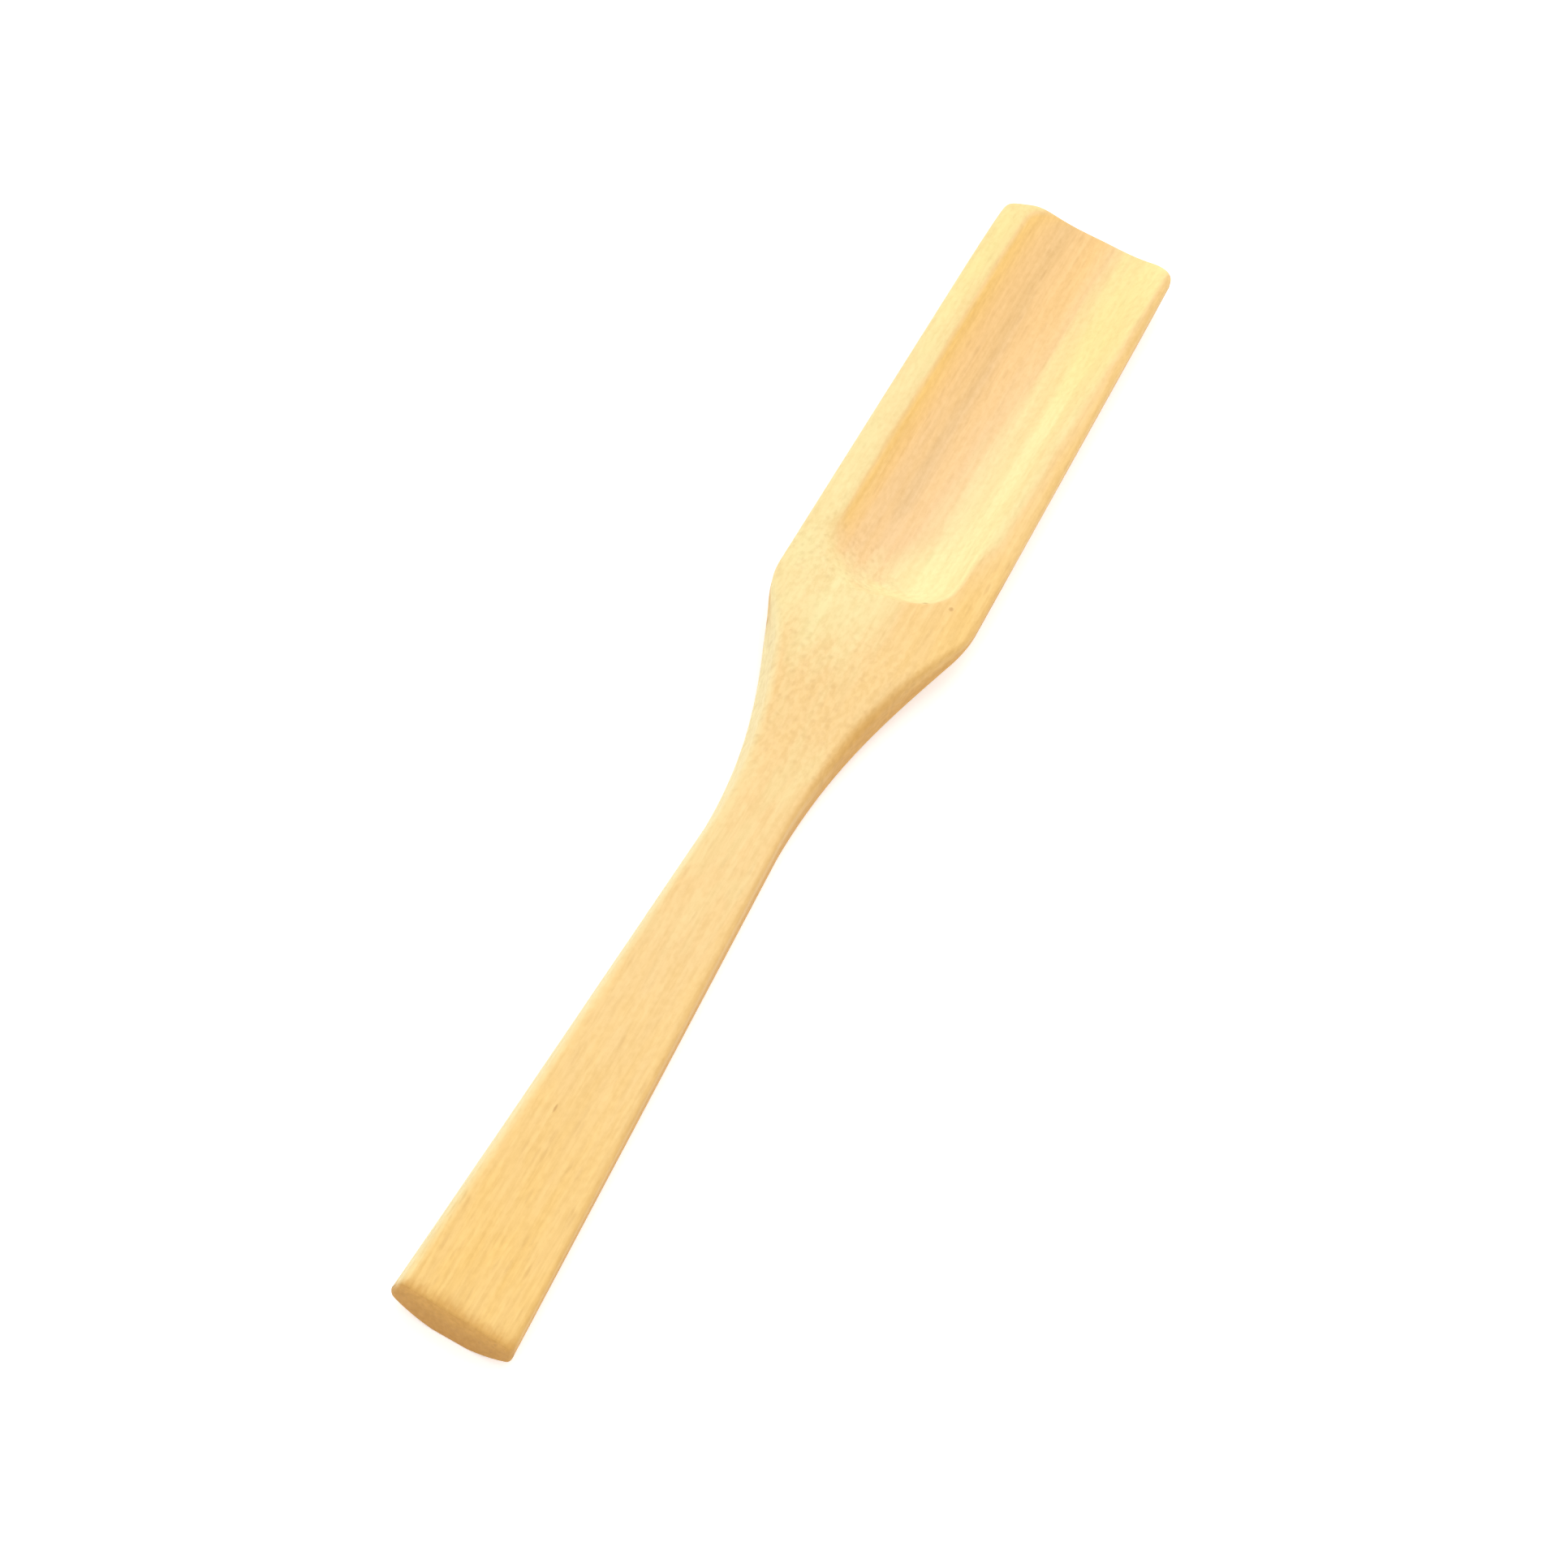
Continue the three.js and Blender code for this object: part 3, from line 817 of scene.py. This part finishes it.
def set_point_values(mesh, values):
    """Gives each point of a mesh one number under each name."""
    for name, numbers in values.items():
        layer = mesh.attributes.new(name, "FLOAT", "POINT")
        layer.data.foreach_set("value", np.asarray(numbers, dtype=np.float32))


def point_normals(mesh):
    normals = np.zeros(len(mesh.vertices) * 3, dtype=np.float32)
    mesh.vertex_normals.foreach_get("vector", normals)
    return normals.reshape(-1, 3)


class NodeBench:
    """Adds nodes to a material or world: an input is either a value or a socket to link."""

    # Nearly all of a noise lies between these values
    NOISE_RANGE = (0.3, 0.7)
    # A spot is full within this share of its half size, and a bundle from this own number on
    SPOT_CORE = 0.3
    BUNDLE_FULL = 0.8

    def __init__(self, owner):
        owner.use_nodes = True
        self.tree = owner.node_tree
        self.tree.nodes.clear()

    def add(self, kind, settings=None, **inputs):
        node = self.tree.nodes.new(kind)
        for key, value in (settings or {}).items():
            setattr(node, key, value)
        for key, value in inputs.items():
            socket = self.socket(node, key)
            if isinstance(value, bpy.types.NodeSocket):
                self.tree.links.new(value, socket)
            else:
                socket.default_value = value
        return node

    @staticmethod
    def socket(node, key):
        """An input by its number, as in_0, or by its name, with _ for a space."""
        if key.startswith("in_"):
            return node.inputs[int(key[3:])]
        return node.inputs[key.replace("_", " ")]

    def maths(self, operation, first, *others):
        """One operation on two or more numbers in turn."""
        for other in others:
            node = self.add("ShaderNodeMath", {"operation": operation}, in_0=first, in_1=other)
            first = node.outputs[0]
        return first

    def product(self, *factors):
        return self.maths("MULTIPLY", *factors)

    def vector(self, operation, first, second):
        node = self.add("ShaderNodeVectorMath", {"operation": operation}, in_0=first, in_1=second)
        return node.outputs[0]

    def span(self, value, low, high, start=0.0, end=1.0, way="SMOOTHSTEP"):
        """Change from one value to another as the input goes from low to high."""
        node = self.add(
            "ShaderNodeMapRange",
            {"interpolation_type": way},
            Value=value,
            From_Min=low,
            From_Max=high,
            To_Min=start,
            To_Max=end,
        )
        return node.outputs[0]

    def change(self, share, start, end):
        """Change from one value to another as a share goes from 0 to 1."""
        return self.span(share, 0.0, 1.0, start, end)

    def swing(self, noise, start=-0.5, end=0.5):
        """Change from one value to another as a noise goes from low to high."""
        return self.span(noise, *self.NOISE_RANGE, start, end)

    def blend(self, share, first, second, kind="MIX"):
        settings = {"data_type": "RGBA", "blend_type": kind}
        return self.add("ShaderNodeMix", settings, in_0=share, in_6=first, in_7=second).outputs[2]

    def attribute(self, name):
        return self.add("ShaderNodeAttribute", {"attribute_name": name}).outputs["Fac"]

    def along_culm(self, place, length, width):
        """Place counted in grains of this length along the culm and this width across it."""
        return self.vector("MULTIPLY", place, (1.0 / length, 1.0 / width, 1.0 / width))

    def grain_noise(self, place, grain, detail=2.0):
        """Noise drawn out along the culm, with the length and width of its grain in millimetres."""
        scaled = self.along_culm(place, *(extent * MILLIMETRE for extent in grain))
        return self.add("ShaderNodeTexNoise", Vector=scaled, Scale=1.0, Detail=detail).outputs[0]

    def spot(self, place, centre, size):
        """1 in the middle of a single spot and 0 outside it, with its centre and size in millimetres."""
        offset = self.vector("SUBTRACT", place, [at * MILLIMETRE for at in centre])
        scaled = self.vector("DIVIDE", offset, [extent * MILLIMETRE / 2 for extent in size])
        reach = self.add("ShaderNodeVectorMath", {"operation": "LENGTH"}, in_0=scaled).outputs["Value"]
        return self.span(reach, self.SPOT_CORE, 1.0, 1.0, 0.0)

    def bundles(self, place, length, width, reach, dimensions="3D"):
        """Spots drawn out along the culm, each of its own strength from 0 to 1."""
        settings = {"feature": "F1", "voronoi_dimensions": dimensions}
        scaled = self.along_culm(place, length, width)
        cells = self.add("ShaderNodeTexVoronoi", settings, Vector=scaled, Scale=1.0).outputs
        spot = self.span(cells["Distance"], *reach, 1.0, 0.0)
        own = self.add("ShaderNodeSeparateColor", Color=cells["Color"]).outputs[0]
        return self.product(spot, self.span(own, 0.0, self.BUNDLE_FULL))


def opaque(colour):
    return (colour[0], colour[1], colour[2], 1.0)


# Length and width of each kind of grain, in millimetres, and how much detail the finest has
BAND_GRAIN = (60.0, 2.4)
BLOTCH_GRAIN = (6.0, 2.0)
STREAK_GRAIN = (12.0, 0.6)
FINE_GRAIN = (3.5, 0.32)
MOTTLE_GRAIN = (0.95, 0.55)
FINE_DETAIL = 3.0
# How far a cut bundle is full and where it ends, as shares of its pitch
DASH_REACH = (0.12, 0.36)
DOT_REACH = (0.05, 0.42)
# How far bands and blotches shift the tone, outside the trough and inside it
BAND_SHIFT = (0.09, 0.22)
BLOTCH_SHIFT = (0.09, 0.05)
# How pale honey wood is, and how much of the peach tint shows
HONEY_TONE = 0.5
PEACH_SHARE = 0.22
# How ragged the sawn end's stain is, where it fades, and how far a face has turned to show end grain
MOTTLE_RAGGED = 0.18
BLOTCH_RAGGED = 0.2
STAIN_FADE = (0.15, 1.15)
STAIN_STRENGTH = 0.85
END_GRAIN_TURN = (0.6, 0.97)
END_GRAIN_SKIN = 0.4
# How strong the grain is from deep to pale wood, and what is left of it inside the trough
GRAIN_TONES = (0.1, 0.8)
GRAIN_STRENGTHS = (1.3, 0.45)
TROUGH_GRAIN = 0.75
# What is left of dashes and fibres where dots show, and of dots and speckle elsewhere
DASHES_AMONG_DOTS = 0.3
FIBRES_AMONG_DOTS = 0.5
DOTS_ELSEWHERE = 0.12
SPECKLE_ELSEWHERE = 0.6
# How fibres, streaks, speckle and the darker band in the trough shade the wood, and how much of it goes
# to red, green and blue
FINE_SHADE = (-0.03, 0.018)
STREAK_SHADE = (-0.042, 0.026)
SPECKLE_SHADE = (-0.06, 0.04)
TROUGH_DARKENING_SHADE = (0.995, 0.918)
GRAIN_TINT = (0.85, 1.15, 1.9)
# Small dark marks in the wood: centre and size in millimetres
MARKS = (
    ((20.8, -8.4, 6.6), (0.9, 0.75, 3.0)),
    ((20.4, -5.3, 6.3), (0.8, 1.0, 3.0)),
    ((-62.2, 1.85, 5.2), (1.6, 0.4, 3.0)),
    ((10.6, 10.0, 3.2), (5.0, 0.5, 2.4)),
)
# How strong the marks, the bundles on the saw cut, the relief and the gloss are
MARK_STRENGTH = 0.5
CUT_DASH_STRENGTH = 0.35
FIBRE_RELIEF = 0.6
DASH_RELIEF = 0.4
RELIEF_STRENGTH = 0.22
RELIEF_DEPTH = 0.1 * MILLIMETRE
ROUGHNESS_SWING = 0.06
GLOSS = 0.3


def bamboo_material(finish):
    """Bamboo with fibre bundles along the culm: streaks where a face follows them, dots where it
    cuts across them."""
    material = bpy.data.materials.new("bamboo")
    bench = NodeBench(material)
    place = bench.add("ShaderNodeTexCoord").outputs["Object"]
    hollow = bench.attribute("hollow")
    dots = bench.attribute("dots")

    # Broad bands, blotches, fine fibres and cut bundles
    band = bench.grain_noise(place, BAND_GRAIN)
    blotch = bench.grain_noise(place, BLOTCH_GRAIN)
    streak = bench.grain_noise(place, STREAK_GRAIN)
    fine = bench.grain_noise(place, FINE_GRAIN, FINE_DETAIL)
    mottle = bench.grain_noise(place, MOTTLE_GRAIN)
    dash = bench.bundles(place, finish.dash_length, finish.dash_pitch, DASH_REACH)
    dot = bench.bundles(place, finish.dot_pitch, finish.dot_pitch, DOT_REACH, "2D")

    # Deep, honey and pale wood, with painted light and shade across the blade and trough
    bands = bench.product(bench.swing(band), bench.change(hollow, *BAND_SHIFT))
    blotches = bench.product(bench.swing(blotch), bench.change(hollow, *BLOTCH_SHIFT))
    even_pale = bench.attribute("pale")
    pale = bench.maths("ADD", even_pale, bench.maths("ADD", bands, blotches))
    low = bench.span(pale, 0.0, HONEY_TONE, way="LINEAR")
    high = bench.span(pale, HONEY_TONE, 1.0, way="LINEAR")
    colour = bench.blend(low, opaque(finish.deep_colour), opaque(finish.honey_colour))
    tipward = bench.attribute("tipward")
    straw = bench.blend(tipward, opaque(finish.pale_colour), opaque(finish.tip_colour))
    colour = bench.blend(high, colour, straw)
    peach = bench.product(bench.attribute("peach"), PEACH_SHARE)
    colour = bench.blend(peach, colour, opaque(finish.inner_colour))
    # Skin colour down the side walls, and painted shade along the right edge
    skin = bench.attribute("skin")
    colour = bench.blend(skin, colour, opaque(finish.skin_colour))
    # Planed left side, partly a painted highlight
    colour = bench.blend(bench.attribute("planed"), colour, opaque(finish.planed_colour))

    # The sawn end, darker toward the skin, whose stain runs a little way into the top face
    small_rags = bench.swing(mottle, -MOTTLE_RAGGED, MOTTLE_RAGGED)
    large_rags = bench.swing(blotch, -BLOTCH_RAGGED, BLOTCH_RAGGED)
    ragged = bench.maths("ADD", bench.attribute("sawn"), small_rags, large_rags)
    stain = bench.span(ragged, *STAIN_FADE, 0.0, STAIN_STRENGTH)
    cut = bench.maths("MAXIMUM", stain, bench.span(bench.attribute("across_grain"), *END_GRAIN_TURN))
    toward_skin = bench.product(skin, END_GRAIN_SKIN)
    sawn_wood = bench.blend(toward_skin, opaque(finish.end_grain_colour), opaque(finish.bundle_colour))
    colour = bench.blend(cut, colour, sawn_wood)

    # Cut bundles and small marks over the colour, weaker where the wood is pale
    marked = bench.span(even_pale, *GRAIN_TONES, *GRAIN_STRENGTHS, way="LINEAR")
    marked = bench.product(marked, bench.change(hollow, 1.0, TROUGH_GRAIN))
    dash_share = bench.product(marked, bench.change(dots, 1.0, DASHES_AMONG_DOTS), finish.dash_strength)
    dash_share = bench.maths("MAXIMUM", dash_share, bench.product(cut, CUT_DASH_STRENGTH))
    dot_mask = bench.product(dot, bench.change(dots, DOTS_ELSEWHERE, 1.0), finish.dot_strength)
    mask = bench.maths("MAXIMUM", bench.product(dash, dash_share), dot_mask)
    for centre, size in MARKS:
        mark = bench.product(bench.spot(place, centre, size), MARK_STRENGTH)
        mask = bench.maths("MAXIMUM", mask, mark)
    colour = bench.blend(mask, colour, opaque(finish.bundle_colour))

    # Fibres, speckle and the darker band in the trough shade the colour
    fibres = bench.maths("ADD", bench.swing(fine, *FINE_SHADE), bench.swing(streak, *STREAK_SHADE))
    fibres = bench.product(fibres, marked, bench.change(dots, 1.0, FIBRES_AMONG_DOTS))
    speckle = bench.change(dots, SPECKLE_ELSEWHERE, 1.0)
    speckle = bench.product(bench.swing(mottle, *SPECKLE_SHADE), speckle)
    grain = bench.vector("MULTIPLY", bench.maths("ADD", fibres, speckle), GRAIN_TINT)
    trough_darkening = bench.change(bench.attribute("trough_darkening"), *TROUGH_DARKENING_SHADE)
    colour = bench.blend(1.0, colour, bench.vector("ADD", grain, trough_darkening), "MULTIPLY")

    relief = bench.maths("SUBTRACT", bench.product(fine, FIBRE_RELIEF), bench.product(dash, DASH_RELIEF))
    bump = bench.add("ShaderNodeBump", Strength=RELIEF_STRENGTH, Distance=RELIEF_DEPTH, Height=relief)
    dull = bench.swing(fine, finish.roughness - ROUGHNESS_SWING, finish.roughness + ROUGHNESS_SWING)
    shader = bench.add(
        "ShaderNodeBsdfPrincipled",
        Base_Color=colour,
        Roughness=dull,
        Normal=bump.outputs[0],
        Specular_IOR_Level=GLOSS,
    )
    bench.add("ShaderNodeOutputMaterial", Surface=shader.outputs[0])
    return material


class SCOOP_OT_carve_body(bpy.types.Operator):
    """Carve the scoop from one strip of bamboo and give it its finish"""

    bl_idname = "scoop.carve_body"
    bl_label = "Carve Scoop Body"

    def execute(self, context):
        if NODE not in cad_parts:
            raise RuntimeError("The frame has no solid named " + NODE)
        scene = context.scene
        form = ScoopForm(scene.scoop_sizes, scene.scoop_trough)
        points, faces, values = carve_mesh(form)
        body = mesh_object("bamboo_scoop", points, faces)
        values["across_grain"] = np.abs(point_normals(body.data)[:, 0])
        set_point_values(body.data, values)
        body.data.materials.append(bamboo_material(scene.scoop_finish))
        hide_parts(NODE)
        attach(body, "root")
        return {"FINISHED"}


WHITE = (1.0, 1.0, 1.0, 1.0)
# Floor and nearest distance seen in metres, sensor in millimetres
FLOOR_SIZE = 6.0
NEAREST_SEEN = 0.01
SENSOR_WIDTH = 36.0
# From the scoop toward the lamps
KEY_DIRECTION = (0.5, 0.0, 0.85)
FILL_DIRECTION = (-0.1, 0.9, 0.35)


def camera_pose(studio):
    """Place and turn of the camera from its aim, distance, azimuth, elevation and roll."""
    turn = studio.view_azimuth
    rise = studio.view_elevation
    roll = studio.view_roll
    ahead = Vector((math.cos(rise) * math.cos(turn), math.cos(rise) * math.sin(turn), -math.sin(rise)))
    level = Vector((math.sin(turn), -math.cos(turn), 0.0))
    upright = level.cross(ahead)
    right = level * math.cos(roll) - upright * math.sin(roll)
    up = level * math.sin(roll) + upright * math.cos(roll)
    pose = Matrix((right, up, -ahead)).transposed().to_4x4()
    pose.translation = Vector(studio.view_aim) - ahead * studio.view_distance
    return pose


def seen_directly(bench):
    """1 where the background itself, or its reflection, is seen."""
    path = bench.add("ShaderNodeLightPath").outputs
    rays = ("Is Camera Ray", "Is Glossy Ray", "Is Transmission Ray")
    return bench.maths("MAXIMUM", *(path[ray] for ray in rays))


def floor_material(studio):
    """Pale floor that takes the object's shadow and shows white around it."""
    material = bpy.data.materials.new("studio_floor")
    bench = NodeBench(material)
    cloth = bench.add("ShaderNodeBsdfDiffuse", Color=opaque(studio.floor_colour))
    lift = bench.product(seen_directly(bench), studio.floor_lift)
    glow = bench.add("ShaderNodeEmission", Color=WHITE, Strength=lift)
    both = bench.add("ShaderNodeAddShader", in_0=cloth.outputs[0], in_1=glow.outputs[0])
    bench.add("ShaderNodeOutputMaterial", Surface=both.outputs[0])
    return material


def sky_world(studio):
    """Even light from all round, white where it is seen."""
    world = bpy.data.worlds.new("studio_sky")
    bench = NodeBench(world)
    strength = bench.change(seen_directly(bench), studio.sky_strength, 1.0)
    sky = bench.add("ShaderNodeBackground", Color=WHITE, Strength=strength)
    bench.add("ShaderNodeOutputWorld", Surface=sky.outputs[0])
    return world


def soft_lamp(name, studio, direction, power):
    """A large disc lamp that shines on the scoop from one direction."""
    lamp = bpy.data.lights.new(name, "AREA")
    lamp.shape = "DISK"
    lamp.size = studio.lamp_size
    lamp.energy = power
    made = bpy.data.objects.new(name, lamp)
    toward = Vector(direction).normalized()
    made.location = toward * studio.lamp_distance
    made.rotation_euler = toward.to_track_quat("Z", "Y").to_euler()
    bpy.context.scene.collection.objects.link(made)


class SCOOP_OT_set_stage(bpy.types.Operator):
    """Lay the pale floor and set up the soft light and the camera"""

    bl_idname = "scoop.set_stage"
    bl_label = "Set Stage"

    def execute(self, context):
        scene = context.scene
        studio = scene.scoop_studio
        bpy.ops.mesh.primitive_plane_add(size=FLOOR_SIZE, location=(0.0, 0.0, 0.0))
        floor = context.object
        floor.name = "studio_floor"
        floor.data.materials.append(floor_material(studio))
        scene.world = sky_world(studio)

        soft_lamp("key_light", studio, KEY_DIRECTION, studio.key_power)
        soft_lamp("fill_light", studio, FILL_DIRECTION, studio.fill_power)

        optics = bpy.data.cameras.new("camera")
        optics.sensor_width = SENSOR_WIDTH
        optics.lens = studio.lens
        optics.clip_start = NEAREST_SEEN
        camera = bpy.data.objects.new("camera", optics)
        camera.matrix_world = camera_pose(studio)
        scene.collection.objects.link(camera)
        scene.camera = camera
        scene.view_settings.view_transform = "Standard"
        return {"FINISHED"}


GROUPS = {
    "scoop_sizes": ScoopSizes,
    "scoop_trough": TroughSizes,
    "scoop_finish": BambooFinish,
    "scoop_studio": StudioSettings,
}


class SCOOP_PT_sidebar(bpy.types.Panel):
    """Sizes, finish and the steps that make the scoop"""

    bl_idname = "SCOOP_PT_sidebar"
    bl_label = "Bamboo Tea Scoop"
    bl_space_type = "VIEW_3D"
    bl_region_type = "UI"
    bl_category = "Scoop"

    def draw(self, context):
        layout = self.layout
        layout.operator(SCOOP_OT_carve_body.bl_idname)
        layout.operator(SCOOP_OT_set_stage.bl_idname)
        for name, group in GROUPS.items():
            box = layout.box()
            for key in group.__annotations__:
                box.prop(getattr(context.scene, name), key)


CLASSES = (*GROUPS.values(), SCOOP_OT_carve_body, SCOOP_OT_set_stage, SCOOP_PT_sidebar)


def register():
    for cls in CLASSES:
        bpy.utils.register_class(cls)
    for name, group in GROUPS.items():
        setattr(bpy.types.Scene, name, PointerProperty(type=group))


def unregister():
    for name in GROUPS:
        delattr(bpy.types.Scene, name)
    for cls in reversed(CLASSES):
        bpy.utils.unregister_class(cls)


def main():
    """Makes the scoop and its stage."""
    register()
    bpy.ops.scoop.carve_body()
    bpy.ops.scoop.set_stage()


if __name__ == "__main__":
    main()
